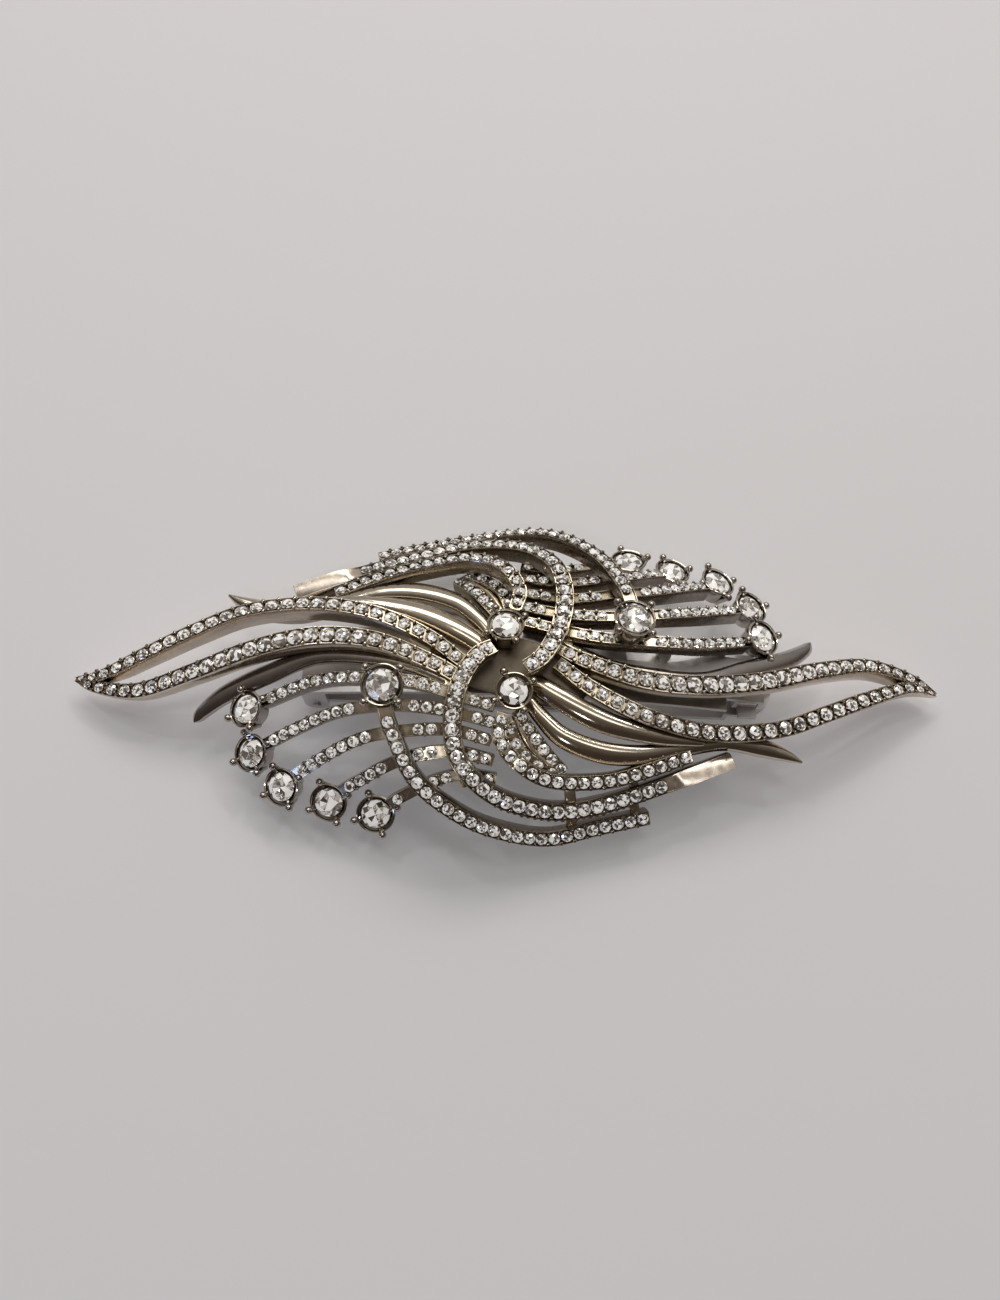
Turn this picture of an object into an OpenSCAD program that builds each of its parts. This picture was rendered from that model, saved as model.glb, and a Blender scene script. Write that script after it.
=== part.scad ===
// Rhinestone hair clip: a cast openwork ornament on a sprung barrette clasp.
// X runs along the ornament, Z points away from the hair, and Z = 0 is the
// underside of the closed swing arm. The ornament repeats itself when it is
// turned half a turn about Z, so each casting is drawn once and turned.

/* [Dome] */
// Height of the ornament's crown above the rest plane
dome_h = 14; // [13:0.5:15]
// Radius of the crown along the clip
dome_rx = 165; // [155:5:185]
// Radius of the crown across the clip
dome_ry = 28; // [26:1:31]

/* [Castings] */
// Depth of the wing and fan rails
rail_depth = 2.6; // [2.2:0.1:2.8]
// Depth of the raised crescents
crescent_depth = 2.2; // [1.9:0.1:2.4]
// Depth of the petals
petal_depth = 1.8; // [1.5:0.1:2]

/* [Stones] */
// Radius of the large stones at the ends of the fan
end_stone_r = 1.85; // [1.6:0.05:1.9]
// Radius of the raised stone on each fan
raised_stone_r = 2.05; // [1.8:0.05:2.1]
// Radius of the two stones at the centre
centre_stone_r = 1.75; // [1.6:0.05:1.8]
// Distance between wing stones
wing_pitch = 2; // [1.9:0.1:2.4]
// Distance between crescent and petal stones
pave_pitch = 1.65; // [1.6:0.05:2]
// Distance between fan stones
fan_pitch = 1.6; // [1.5:0.05:1.8]
// Share of a rail's width that a stone fills
stone_fill = 0.72; // [0.6:0.01:0.76]
// Tilt of the end settings away from the fan
end_tilt = 28; // [15:1:35]

/* [Clasp] */
// Length of the clasp from hinge pin to catch
clasp_len = 58; // [57:0.5:58]
// Centre of the clasp along the clip
clasp_x = 3.5; // [3:0.5:3.5]
// Centre of the clasp across the clip
clasp_y = 1.2; // [0.8:0.1:1.2]
// Width of the clasp's base plate
plate_w = 9; // [8.6:0.1:9.2]
// Height of the base plate's crown
plate_top = 9.5; // [9.3:0.1:9.5]
// Radius that the base plate is bowed to
plate_r = 140; // [136:2:142]
// Thickness of the base plate
plate_t = 0.8; // [0.7:0.1:0.8]
// Thickness of the swing arm
arm_t = 1; // [0.8:0.1:1]
// Width of the swing arm
arm_w = 7; // [6.6:0.1:7]
// Radius of the hinge pin
pin_r = 0.6; // [0.5:0.05:0.7]
// Radial running clearance of every pin
pin_gap = 0.05; // [0.03:0.01:0.08]

/* [Hidden] */
$fn = 48;
big_fn = 1440;
cup_wall = 0.6;
cup_rim = 0.2;
stone_seat = 0.1;
prong_out = 0.75;
prong_r = 0.34;
ball_out = 1;
ball_r = 0.52;
link_depth = 1.6;
tie_depth = 1.4;
ribbon_depth = 2.2;
crossing_depth = 2.6;
hinge_x = clasp_x - clasp_len / 2;
catch_x = clasp_x + clasp_len / 2;
hinge_z = 1.6;
ear_r = 1.6;
ear_t = 0.8;
knuckle_r = 1.35;
lever_pin_r = 0.4;
lever_pin_y = 2;
lever_pin_z = 4.5;
lever_len = 2.6;
neck_w = 2 * lever_pin_y + 1.8;
bow_half = 24;
bow_w = 4.4;
bow_t = 0.4;
blade_depth = 1.6;
peg_r = 0.9;
peg_top = 11.4;
peg_head_r = 1.5;
peg_head_h = 0.6;
pegs = [[-14, 1.3], [20.2, 3.4]];

// Each rail's course on the crown: x, y, height above the crown, width.
wing_outer = [
    [-58, -1.8, -0.9, 0.6], [-53.4, -1.7, 0, 1.6], [-47, 1, 0.3, 2.1], [-41, 3.8, 0.4, 2.2],
    [-34.5, 6.5, 0.3, 2.2], [-26, 7.6, -0.3, 2.2], [-18, 6.3, -0.5, 2.1], [-11, 3.3, -1, 2],
    [-6, -0.2, -1.3, 1.8]
];
wing_inner = [
    [-58, -1.8, -0.9, 0.6], [-54.3, -3.3, -0.5, 1.6], [-48, -4.1, -0.3, 2.1], [-40.5, -2.1, 0.2, 2.4],
    [-33, 0.5, 0.6, 2.6], [-25, 2.1, 1, 2.6], [-17, 1.8, 0.2, 2.4], [-9, -0.9, -1.2, 2],
    [-5, -3.2, -1.5, 1.8]
];
sweep_blade = [
    [-6, -3.6, -2, 1.6], [-12, -1, -1.8, 1.8], [-18, 0.2, -1.6, 2], [-25, 0.4, -1.4, 2.4],
    [-31, -1.8, -1.8, 2.8], [-36.5, -4.2, -2.2, 2.6], [-39.6, -6.3, -2.6, 2], [-40.7, -7.7, -2.9, 1.2]
];
edge_ribbon = [
    [-2.5, 1.6, -2, 2.4], [-6, 4, -1.4, 2.8], [-10.3, 6.3, -1.1, 3], [-14.1, 7.6, -1, 2.8],
    [-19.4, 8.5, -1, 2], [-25, 8.7, -1.2, 1]
];
crossing_blade = [
    [-2.7, 4.6, -2.4, 1.8], [-4.4, 6.7, -2, 2.2], [-7.3, 9.2, -1.6, 2.7], [-12, 10.7, -1.4, 2.9],
    [-17, 10.7, -1.5, 2.6], [-22, 9.5, -1.9, 2.2], [-28, 8, -2.4, 2.1], [-33, 8.3, -1.9, 2.4],
    [-36.2, 9.1, -1.3, 1.5], [-38, 9.8, -0.9, 0.4]
];
fan_bars = [
    [[-31.4, -5.8, -1.5, 1.6], [-25, -3.9, 0.2, 1.6], [-20, -3.4, 0.7, 1.6], [-12.5, -3.5, 0.1, 1.6],
        [-7, -4.6, -0.9, 1.6], [-1.6, -5.9, -1.3, 1.5]],
    [[-30.6, -11, -1.5, 1.6], [-25.5, -9.1, -0.1, 1.6], [-20.5, -7.6, 1, 1.6], [-14, -6.7, 0.6, 1.6],
        [-7.5, -6.9, -0.4, 1.6], [-1.2, -8.1, -1, 1.5]],
    [[-26.6, -14.7, -1.3, 1.6], [-22.6, -12.8, 0.1, 1.6], [-18.5, -11.1, 1, 1.6], [-14.5, -10.2, 1.2, 1.6],
        [-7.5, -9.3, 0, 1.6], [-1.8, -10.2, -0.8, 1.5]],
    [[-20.6, -16.4, -1.5, 1.6], [-18.4, -15.4, -0.9, 1.6], [-15.1, -13.9, 0, 1.6], [-11.3, -12.6, 0.5, 1.6],
        [-6.5, -11.9, 0.2, 1.6], [-1.4, -12.6, -0.4, 1.5]],
    [[-14.4, -17.8, -1.4, 1.5], [-12.6, -16.9, -0.9, 1.5], [-8.7, -15.2, -0.4, 1.5], [-5, -14.4, -0.3, 1.5],
        [-1, -14.8, -0.3, 1.5]]
];
fan_link = [[-7.2, -2.6, -1.9, 1.8], [-7.2, -7, -1.7, 1.8], [-6.6, -11.5, -1.2, 1.8], [-4.4, -15.4, -1, 1.6]];
outer_crescent = [
    [-15.2, -7.2, 3.3, 1.8], [-14.1, -10.4, 3.5, 1.9], [-10.8, -16, 3.2, 2], [-5.3, -19.6, 3.2, 2],
    [0, -20.9, 1.4, 2], [6, -20.9, -0.9, 2], [12, -19.3, -1.6, 2], [18.7, -17.5, -2.3, 1.9]
];
middle_crescent = [
    [-2, 1.4, 0.5, 2], [-4.2, -0.3, 0.9, 2.2], [-6.2, -4.5, 1.4, 2.3], [-6.7, -9.8, 1.6, 2.3],
    [-5.2, -14.1, 2.5, 2.2], [-0.8, -17.3, 2.1, 2.2], [6, -18.2, 0.5, 2.2], [12.5, -16.8, -1.1, 2.2],
    [20.4, -13.9, -1.5, 2.1], [29, -10.2, -1.7, 2]
];
inner_crescent = [
    [-0.4, -7, 0.2, 1.7], [-0.9, -10, 0.6, 1.9], [1.2, -13.1, 2, 1.9], [5.6, -15, 1.5, 1.9],
    [12.5, -14.3, -0.3, 1.9], [18, -12.5, -1.1, 1.9], [23.6, -10.1, -1.9, 1.8]
];
petal_rails = [
    [[1.2, -6.2, -1.6, 1.5], [3.4, -9, -2, 1.7], [5.4, -11.2, -2.2, 1.7], [7.5, -13, -2.4, 1.5]],
    [[0.2, -7.6, -1.4, 1.5], [1.3, -10.4, -1.2, 1.6], [3.2, -12.2, -1.2, 1.6], [6.4, -13.6, -1.6, 1.5]]
];
petal_rib = [
    [0.9, -6.8, -1.6, 0.8], [2.5, -9.8, -1.6, 0.8], [4.4, -11.8, -1.8, 0.8], [6.9, -13.3, -2.1, 0.8]
];
crescent_ties = [
    [[8.2, -14.6, -1.4, 1.4], [8.6, -17.6, -1.4, 1.4], [9, -20.4, -2.4, 1.4]],
    [[16.2, -12.6, -2.4, 1.2], [16.6, -15.4, -2.6, 1.2], [17, -18.2, -3.2, 1.2]]
];
hub = [[-10, 2.4, -2.7, 6], [-5, 1.2, -2.9, 7.6], [0, 0, -3, 8.2], [5, -1.2, -2.9, 7.6], [10, -2.4, -2.7, 6]];

// Large settings: x, y and z of the stone's girdle.
end_places = [
    [-33.3, -6.6, 8.3], [-32.4, -11.8, 6.2], [-28.2, -15.8, 5.3], [-22.1, -17.4, 4.8], [-16, -18.6, 4.9]
];
raised_place = [-15.4, -5.2, 16];
centre_place = [0.7, -4.4, 13.8];
fan_middle = [-16, -4];

// ---- the crown and the courses on it ----

function unit(v) = v / norm(v);
function crown(x, y) = dome_h - x * x / (2 * dome_rx) - y * y / (2 * dome_ry);
function crown_normal(p) = unit([p[0] / dome_rx, p[1] / dome_ry, 1]);
function spline(a, b, c, d, t) =
    b + 0.5 * t * (c - a + t * (2 * a - 5 * b + 4 * c - d + t * (3 * (b - c) + d - a)));
function knot(pts, i) =
    i < 0 ? 2 * pts[0] - pts[1] :
    i >= len(pts) ? 2 * pts[len(pts) - 1] - pts[len(pts) - 2] : pts[i];
// A smooth course through the knots, as x, y, z, width.
function course(pts, steps) = [
    for (i = [0 : len(pts) - 2], k = [0 : (i == len(pts) - 2 ? steps : steps - 1)])
        let (q = spline(knot(pts, i - 1), knot(pts, i), knot(pts, i + 1), knot(pts, i + 2), k / steps))
        [q[0], q[1], crown(q[0], q[1]) + q[2], q[3]]
];
function place(q) = [q[0], q[1], q[2]];
function heading(path, i) =
    unit(place(path[min(i + 1, len(path) - 1)]) - place(path[max(i - 1, 0)]));
function across(path, i) = unit(cross(crown_normal(path[i]), heading(path, i)));
// The four corners of a rail's section: two on top, two below.
function section(path, i, depth) =
    let (
        p = place(path[i]), w = path[i][3], d = min(depth, 1.4 * w),
        side = across(path, i), up = cross(heading(path, i), side)
    )
    [p + side * w / 2, p - side * w / 2, p - side * w / 2 - up * d, p + side * w / 2 - up * d];
// Running length of a course up to each of its points.
function runs(path) = [for (i = 0, s = 0; i < len(path);
    i = i + 1, s = s + (i < len(path) ? norm(place(path[i]) - place(path[i - 1])) : 0)) s];
function at(path, s, far) = [
    for (k = [0 : 3])
        lookup(far, [for (i = [0 : len(path) - 1]) [s[i], path[i][k]]])
];

module rail(pts, depth, steps = 3) {
    path = course(pts, steps);
    for (i = [0 : len(path) - 2])
        hull()
            polyhedron(
                points = concat(section(path, i, depth), section(path, i + 1, depth)),
                faces = [[0, 1, 2, 3], [7, 6, 5, 4], [0, 4, 5, 1], [1, 5, 6, 2], [2, 6, 7, 3], [3, 7, 4, 0]]
            );
}

// Stands its children on a point, with their Z along the normal.
module stand(p, n) {
    translate(place(p))
        rotate([0, acos(n[2]), atan2(n[1], n[0])])
            children();
}

// A cut stone with its girdle at Z = 0: a low crown over a pointed back.
module stone(r) {
    rotate_extrude()
        polygon([[0, -0.5 * r], [r, 0], [0.6 * r, 0.3 * r], [0, 0.3 * r]]);
}

// True where nothing crosses above a point: neither the raised setting nor a crescent.
function plan(q) = [q[0], q[1]];
function open_above(q) =
    norm(plan(q) - plan(raised_place)) > raised_stone_r + 1.3
    && min([for (pts = [outer_crescent, middle_crescent], p = course(pts, 6)) norm(plan(p) - plan(q))]) > 1.7;

// Stones at even spacing along a course, from one running length to another.
// A covered row leaves out the stones that would lie under a crescent.
module stone_row(pts, pitch, start, stop, covered = false) {
    path = course(pts, 4);
    s = runs(path);
    total = s[len(s) - 1] - start - stop;
    count = floor(total / pitch);
    for (k = [0 : count])
        let (q = at(path, s, start + total * k / count))
            if (!covered || open_above(q)) stand(q, crown_normal(q)) stone(stone_fill * q[3] / 2);
}

// A bezel cup with a floor, a rim and four ball-ended prongs; the girdle is at Z = 0.
module setting(r, height, turn) {
    difference() {
        translate([0, 0, -height]) cylinder(r = r + cup_wall, h = height + cup_rim);
        translate([0, 0, -0.6 * r]) cylinder(r = r - stone_seat, h = 2 * r);
    }
    for (k = [0 : 3])
        rotate([0, 0, turn + 90 * k]) {
            translate([r + prong_out, 0, -0.7 * height]) cylinder(r = prong_r, h = 0.7 * height + cup_rim);
            translate([r + ball_out, 0, cup_rim]) sphere(r = ball_r);
        }
}

function end_normal(p) =
    let (out = unit([p[0] - fan_middle[0], p[1] - fan_middle[1]]))
    [out[0] * sin(end_tilt), out[1] * sin(end_tilt), cos(end_tilt)];

module half_turn() { rotate([0, 0, 180]) children(); }

// ---- ornament castings ----

module wing_frame_left() {
    color("silver") {
        rail(wing_outer, rail_depth, 4);
        rail(wing_inner, rail_depth, 4);
    }
}

module wing_outer_stones_left() { color("white") stone_row(wing_outer, wing_pitch, 1.2, 1, true); }
module wing_inner_stones_left() { color("white") stone_row(wing_inner, wing_pitch, 2.6, 1, true); }

module sweep_blade_left() { color("gray") rail(sweep_blade, blade_depth); }
module edge_ribbon_left() { color("silver") rail(edge_ribbon, ribbon_depth); }
module crossing_blade_left() { color("gray") rail(crossing_blade, crossing_depth); }

module fan_frame_left() {
    color("silver") {
        for (bar = fan_bars) rail(bar, rail_depth);
        rail(fan_link, link_depth);
    }
}

module fan_long_bar_stones_left() {
    color("white")
        for (k = [0, 1]) stone_row(fan_bars[k], fan_pitch, 1.6, 1, true);
}

module fan_short_bar_stones_left() {
    color("white")
        for (k = [2 : 4]) stone_row(fan_bars[k], fan_pitch, 1.6, 1, true);
}

module end_settings_left() {
    color("dimgray")
        for (p = end_places) stand(p, end_normal(p)) setting(end_stone_r, 2.4, 20);
}

module end_stones_left() {
    color("white")
        for (p = end_places) stand(p, end_normal(p)) stone(end_stone_r);
}

module raised_setting_left() {
    color("dimgray") stand(raised_place, crown_normal(raised_place)) setting(raised_stone_r, 3.4, 45);
}

module raised_stone_left() {
    color("white") stand(raised_place, crown_normal(raised_place)) stone(raised_stone_r);
}

module outer_crescent_front() { color("silver") rail(outer_crescent, crescent_depth); }
module middle_crescent_front() { color("silver") rail(middle_crescent, crescent_depth); }
module inner_crescent_front() { color("silver") rail(inner_crescent, crescent_depth); }

module outer_crescent_stones_front() { color("white") stone_row(outer_crescent, pave_pitch, 2.6, 0.9); }
module middle_crescent_stones_front() { color("white") stone_row(middle_crescent, pave_pitch, 1, 10); }
module inner_crescent_stones_front() { color("white") stone_row(inner_crescent, pave_pitch, 1, 0.9); }

module crescent_ties_front() {
    color("gray")
        for (tie = crescent_ties) rail(tie, tie_depth);
}

module petal_front() {
    color("silver") {
        for (side = petal_rails) rail(side, petal_depth);
        rail(petal_rib, petal_depth);
    }
}

module petal_stones_front() {
    color("white")
        for (side = petal_rails) stone_row(side, pave_pitch, 1, 0.6);
}

module centre_setting_front() {
    color("dimgray") stand(centre_place, crown_normal(centre_place)) setting(centre_stone_r, 3, 30);
}

module centre_stone_front() {
    color("white") stand(centre_place, crown_normal(centre_place)) stone(centre_stone_r);
}

module hub_plate() { color("gray") rail(hub, tie_depth); }

// ---- clasp ----

// A strip bowed along X between two arcs, centred on the clasp.
module bowed_strip(top, thick, radius, x0, x1, width) {
    translate([clasp_x, clasp_y + width / 2, 0])
        rotate([90, 0, 0])
            linear_extrude(width)
                intersection() {
                    difference() {
                        translate([0, top - radius]) circle(r = radius, $fn = big_fn);
                        translate([0, top - radius]) circle(r = radius - thick, $fn = big_fn);
                    }
                    translate([x0, 0]) square([x1 - x0, 30]);
                }
}

module hinge_ear(side) {
    outer = clasp_y + side * plate_w / 2;
    y0 = side > 0 ? outer - ear_t : outer;
    translate([hinge_x, y0 + ear_t, hinge_z])
        rotate([90, 0, 0]) {
            cylinder(r = ear_r, h = ear_t);
            translate([-ear_r, 0, 0]) cube([2 * ear_r, 4.8, ear_t]);
        }
}

// A small cross-wall that carries both catch pins and rises into the plate.
module catch_wall(x, rise) {
    translate([x, clasp_y - neck_w / 2, lever_pin_z - 0.8]) cube([0.6, neck_w, rise]);
}

module base_plate() {
    color("darkgray")
        difference() {
            union() {
                bowed_strip(plate_top, plate_t, plate_r, -clasp_len / 2 - ear_r, 25, plate_w);
                bowed_strip(plate_top, plate_t, plate_r, 24, clasp_len / 2 + 1.2, neck_w);
                for (side = [-1, 1]) hinge_ear(side);
                catch_wall(catch_x - 2.6, 2.9);
                catch_wall(catch_x + 0.6, 2.3);
            }
            translate([hinge_x, clasp_y + plate_w, hinge_z])
                rotate([90, 0, 0]) cylinder(r = pin_r, h = 2 * plate_w);
            for (side = [-1, 1])
                translate([catch_x - 4, clasp_y + side * lever_pin_y, lever_pin_z])
                    rotate([0, 90, 0]) cylinder(r = lever_pin_r, h = 8);
            for (p = pegs)
                translate([p[0], p[1], 0]) cylinder(r = peg_r, h = 20);
        }
}

// Cast pegs that pass through the base plate and are headed over below it.
module clasp_pegs() {
    color("gray")
        for (p = pegs) {
            under = plate_top - plate_t - pow(p[0] - clasp_x, 2) / (2 * plate_r);
            translate([p[0], p[1], under - peg_head_h]) cylinder(r = peg_r, h = peg_top - under + peg_head_h);
            translate([p[0], p[1], under - peg_head_h]) cylinder(r = peg_head_r, h = peg_head_h - 0.05);
        }
}

module hinge_pin() {
    color("silver")
        translate([hinge_x, clasp_y + plate_w / 2 + 0.3, hinge_z])
            rotate([90, 0, 0]) cylinder(r = pin_r, h = plate_w + 0.6);
}

// Two side rails, three cross-bars, a knuckle at the hinge and a raised round tip with a catch window.
module swing_arm() {
    side_w = 1.4;
    bar_len = 2;
    step_x = catch_x - 3.4;
    step_t = 0.6;
    tip_len = 2.9;
    tip_z = 1.7;
    tip_t = 0.8;
    window_w = 4.6;
    knuckle_w = plate_w - 2 * ear_t - 0.3;
    color("darkgray")
        difference() {
            union() {
                for (side = [-1, 1])
                    translate([hinge_x, clasp_y + side * (arm_w - side_w) / 2 - side_w / 2, 0])
                        cube([step_x - hinge_x + step_t, side_w, arm_t]);
                for (x = [hinge_x + 1.8, clasp_x - bar_len / 2, step_x - bar_len])
                    translate([x, clasp_y - arm_w / 2, 0]) cube([bar_len, arm_w, arm_t]);
                translate([step_x, clasp_y - arm_w / 2, 0]) cube([step_t, arm_w, tip_z + tip_t]);
                translate([step_x, clasp_y - arm_w / 2, tip_z]) cube([tip_len, arm_w, tip_t]);
                translate([step_x + tip_len, clasp_y, tip_z]) cylinder(r = arm_w / 2, h = tip_t);
                translate([hinge_x, clasp_y + knuckle_w / 2, hinge_z])
                    rotate([90, 0, 0]) cylinder(r = knuckle_r, h = knuckle_w);
            }
            translate([hinge_x, clasp_y + plate_w, hinge_z])
                rotate([90, 0, 0]) cylinder(r = pin_r + pin_gap, h = 2 * plate_w);
            translate([catch_x - 2.1, clasp_y - window_w / 2, arm_t]) cube([lever_len + 0.4, window_w, 3]);
        }
}

// A thin strip bowed towards the arm, held up under the base plate at both ends.
module tension_bow() {
    drop = plate_top - plate_t - bow_half * bow_half / (2 * plate_r);
    low = 5.6;
    rise = drop - low - 0.02;
    radius = (bow_half * bow_half + rise * rise) / (2 * rise);
    color("lightgray")
        translate([clasp_x, clasp_y + bow_w / 2, 0])
            rotate([90, 0, 0])
                linear_extrude(bow_w)
                    intersection() {
                        difference() {
                            translate([0, low + radius]) circle(r = radius, $fn = big_fn);
                            translate([0, low + radius]) circle(r = radius - bow_t, $fn = big_fn);
                        }
                        translate([-bow_half, 0]) square([2 * bow_half, drop - 0.05]);
                    }
}

module catch_pins() {
    color("silver")
        for (side = [-1, 1])
            translate([catch_x - 2.7, clasp_y + side * lever_pin_y, lever_pin_z])
                rotate([0, 90, 0]) cylinder(r = lever_pin_r, h = 4);
}

// One squeeze lever: a knuckle on its pin, a shank, an outward barb and a thumb tab.
module catch_lever(side) {
    knuckle = 0.85;
    width = lever_len - 0.2;
    sheet = 0.7;
    shank_y = 1.2;
    barb_z = 0.5;
    translate([catch_x - 1.9, clasp_y, 0])
        mirror([0, side > 0 ? 0 : 1, 0])
            difference() {
                union() {
                    translate([0, lever_pin_y, lever_pin_z])
                        rotate([0, 90, 0]) cylinder(r = knuckle, h = width);
                    translate([0, shank_y, lever_pin_z - knuckle]) cube([width, 2 * sheet, sheet]);
                    translate([0, shank_y, barb_z]) cube([width, sheet, lever_pin_z - barb_z - 0.1]);
                    translate([0, shank_y, barb_z]) cube([width, 1.5, 1.1]);
                    translate([0, lever_pin_y, lever_pin_z - knuckle]) cube([width, 2.4, sheet]);
                }
                translate([-1, lever_pin_y, lever_pin_z])
                    rotate([0, 90, 0]) cylinder(r = lever_pin_r + pin_gap, h = lever_len + 2);
            }
}

module catch_lever_front() { color("darkgray") catch_lever(-1); }
module catch_lever_rear() { color("darkgray") catch_lever(1); }

wing_frame_left();
half_turn() wing_frame_left();  // wing_frame_right
wing_outer_stones_left();
half_turn() wing_outer_stones_left();  // wing_outer_stones_right
wing_inner_stones_left();
half_turn() wing_inner_stones_left();  // wing_inner_stones_right
sweep_blade_left();
half_turn() sweep_blade_left();  // sweep_blade_right
edge_ribbon_left();
half_turn() edge_ribbon_left();  // edge_ribbon_right
crossing_blade_left();
half_turn() crossing_blade_left();  // crossing_blade_right
fan_frame_left();
half_turn() fan_frame_left();  // fan_frame_right
fan_long_bar_stones_left();
half_turn() fan_long_bar_stones_left();  // fan_long_bar_stones_right
fan_short_bar_stones_left();
half_turn() fan_short_bar_stones_left();  // fan_short_bar_stones_right
end_settings_left();
half_turn() end_settings_left();  // end_settings_right
end_stones_left();
half_turn() end_stones_left();  // end_stones_right
raised_setting_left();
half_turn() raised_setting_left();  // raised_setting_right
raised_stone_left();
half_turn() raised_stone_left();  // raised_stone_right
outer_crescent_front();
half_turn() outer_crescent_front();  // outer_crescent_rear
middle_crescent_front();
half_turn() middle_crescent_front();  // middle_crescent_rear
inner_crescent_front();
half_turn() inner_crescent_front();  // inner_crescent_rear
outer_crescent_stones_front();
half_turn() outer_crescent_stones_front();  // outer_crescent_stones_rear
middle_crescent_stones_front();
half_turn() middle_crescent_stones_front();  // middle_crescent_stones_rear
inner_crescent_stones_front();
half_turn() inner_crescent_stones_front();  // inner_crescent_stones_rear
crescent_ties_front();
half_turn() crescent_ties_front();  // crescent_ties_rear
petal_front();
half_turn() petal_front();  // petal_rear
petal_stones_front();
half_turn() petal_stones_front();  // petal_stones_rear
centre_setting_front();
half_turn() centre_setting_front();  // centre_setting_rear
centre_stone_front();
half_turn() centre_stone_front();  // centre_stone_rear
hub_plate();
clasp_pegs();
base_plate();
hinge_pin();
swing_arm();
tension_bow();
catch_pins();
catch_lever_front();
catch_lever_rear();
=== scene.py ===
import math
import random

import bpy
import numpy as np
from mathutils import Matrix, Vector


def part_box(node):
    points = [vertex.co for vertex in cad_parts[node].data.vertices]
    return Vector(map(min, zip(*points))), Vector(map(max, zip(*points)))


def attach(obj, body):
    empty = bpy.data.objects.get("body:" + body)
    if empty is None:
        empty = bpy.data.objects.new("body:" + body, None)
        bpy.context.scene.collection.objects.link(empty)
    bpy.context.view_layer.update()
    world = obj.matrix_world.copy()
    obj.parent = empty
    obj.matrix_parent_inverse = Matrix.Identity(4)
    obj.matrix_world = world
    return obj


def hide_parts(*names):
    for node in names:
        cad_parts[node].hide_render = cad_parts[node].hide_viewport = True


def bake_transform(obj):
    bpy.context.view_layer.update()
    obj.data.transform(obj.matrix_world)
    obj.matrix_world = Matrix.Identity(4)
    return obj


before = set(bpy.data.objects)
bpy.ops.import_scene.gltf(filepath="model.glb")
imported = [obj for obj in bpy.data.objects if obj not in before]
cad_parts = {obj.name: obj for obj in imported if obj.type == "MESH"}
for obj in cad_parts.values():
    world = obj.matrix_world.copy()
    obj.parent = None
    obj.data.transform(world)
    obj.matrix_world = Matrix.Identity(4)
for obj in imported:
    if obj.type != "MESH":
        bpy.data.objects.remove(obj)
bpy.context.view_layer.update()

# The looks of the hair clip. Lengths are millimetres unless a comment says metres; MM turns them into metres.
MM = 0.001
dice = random.Random(20)


# ---------------------------------------------------------------- crown and courses, as in the CAD

DOME_H, DOME_RX, DOME_RY = 14.0, 165.0, 28.0
RAIL_DEPTH, CRESCENT_DEPTH, PETAL_DEPTH, BLADE_DEPTH = 2.6, 2.2, 1.8, 1.6
WING_PITCH, PAVE_PITCH, FAN_PITCH = 2.0, 1.65, 1.6
END_R, RAISED_R, CENTRE_R, END_TILT = 1.85, 2.05, 1.75, 28.0

WING_OUTER = [
    (-58, -1.8, -0.9, 0.6), (-53.4, -1.7, 0, 1.6), (-47, 1, 0.3, 2.1), (-41, 3.8, 0.4, 2.2),
    (-34.5, 6.5, 0.3, 2.2), (-26, 7.6, -0.3, 2.2), (-18, 6.3, -0.5, 2.1), (-11, 3.3, -1, 2),
    (-6, -0.2, -1.3, 1.8),
]
WING_INNER = [
    (-58, -1.8, -0.9, 0.6), (-54.3, -3.3, -0.5, 1.6), (-48, -4.1, -0.3, 2.1), (-40.5, -2.1, 0.2, 2.4),
    (-33, 0.5, 0.6, 2.6), (-25, 2.1, 1, 2.6), (-17, 1.8, 0.2, 2.4), (-9, -0.9, -1.2, 2),
    (-5, -3.2, -1.5, 1.8),
]
SWEEP_BLADE = [
    (-6, -3.6, -2, 1.6), (-12, -1, -1.8, 1.8), (-18, 0.2, -1.6, 2), (-25, 0.4, -1.4, 2.4),
    (-31, -1.8, -1.8, 2.8), (-36.5, -4.2, -2.2, 2.6), (-39.6, -6.3, -2.6, 2), (-40.7, -7.7, -2.9, 1.2),
]
EDGE_RIBBON = [
    (-2.5, 1.6, -2, 2.4), (-6, 4, -1.4, 2.8), (-10.3, 6.3, -1.1, 3), (-14.1, 7.6, -1, 2.8),
    (-19.4, 8.5, -1, 2), (-25, 8.7, -1.2, 1),
]
CROSSING_BLADE = [
    (-2.7, 4.6, -2.4, 1.8), (-4.4, 6.7, -2, 2.2), (-7.3, 9.2, -1.6, 2.7), (-12, 10.7, -1.4, 2.9),
    (-17, 10.7, -1.5, 2.6), (-22, 9.5, -1.9, 2.2), (-28, 8, -2.4, 2.1), (-33, 8.3, -1.9, 2.4),
    (-36.2, 9.1, -1.3, 1.5), (-38, 9.8, -0.9, 0.4),
]
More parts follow.
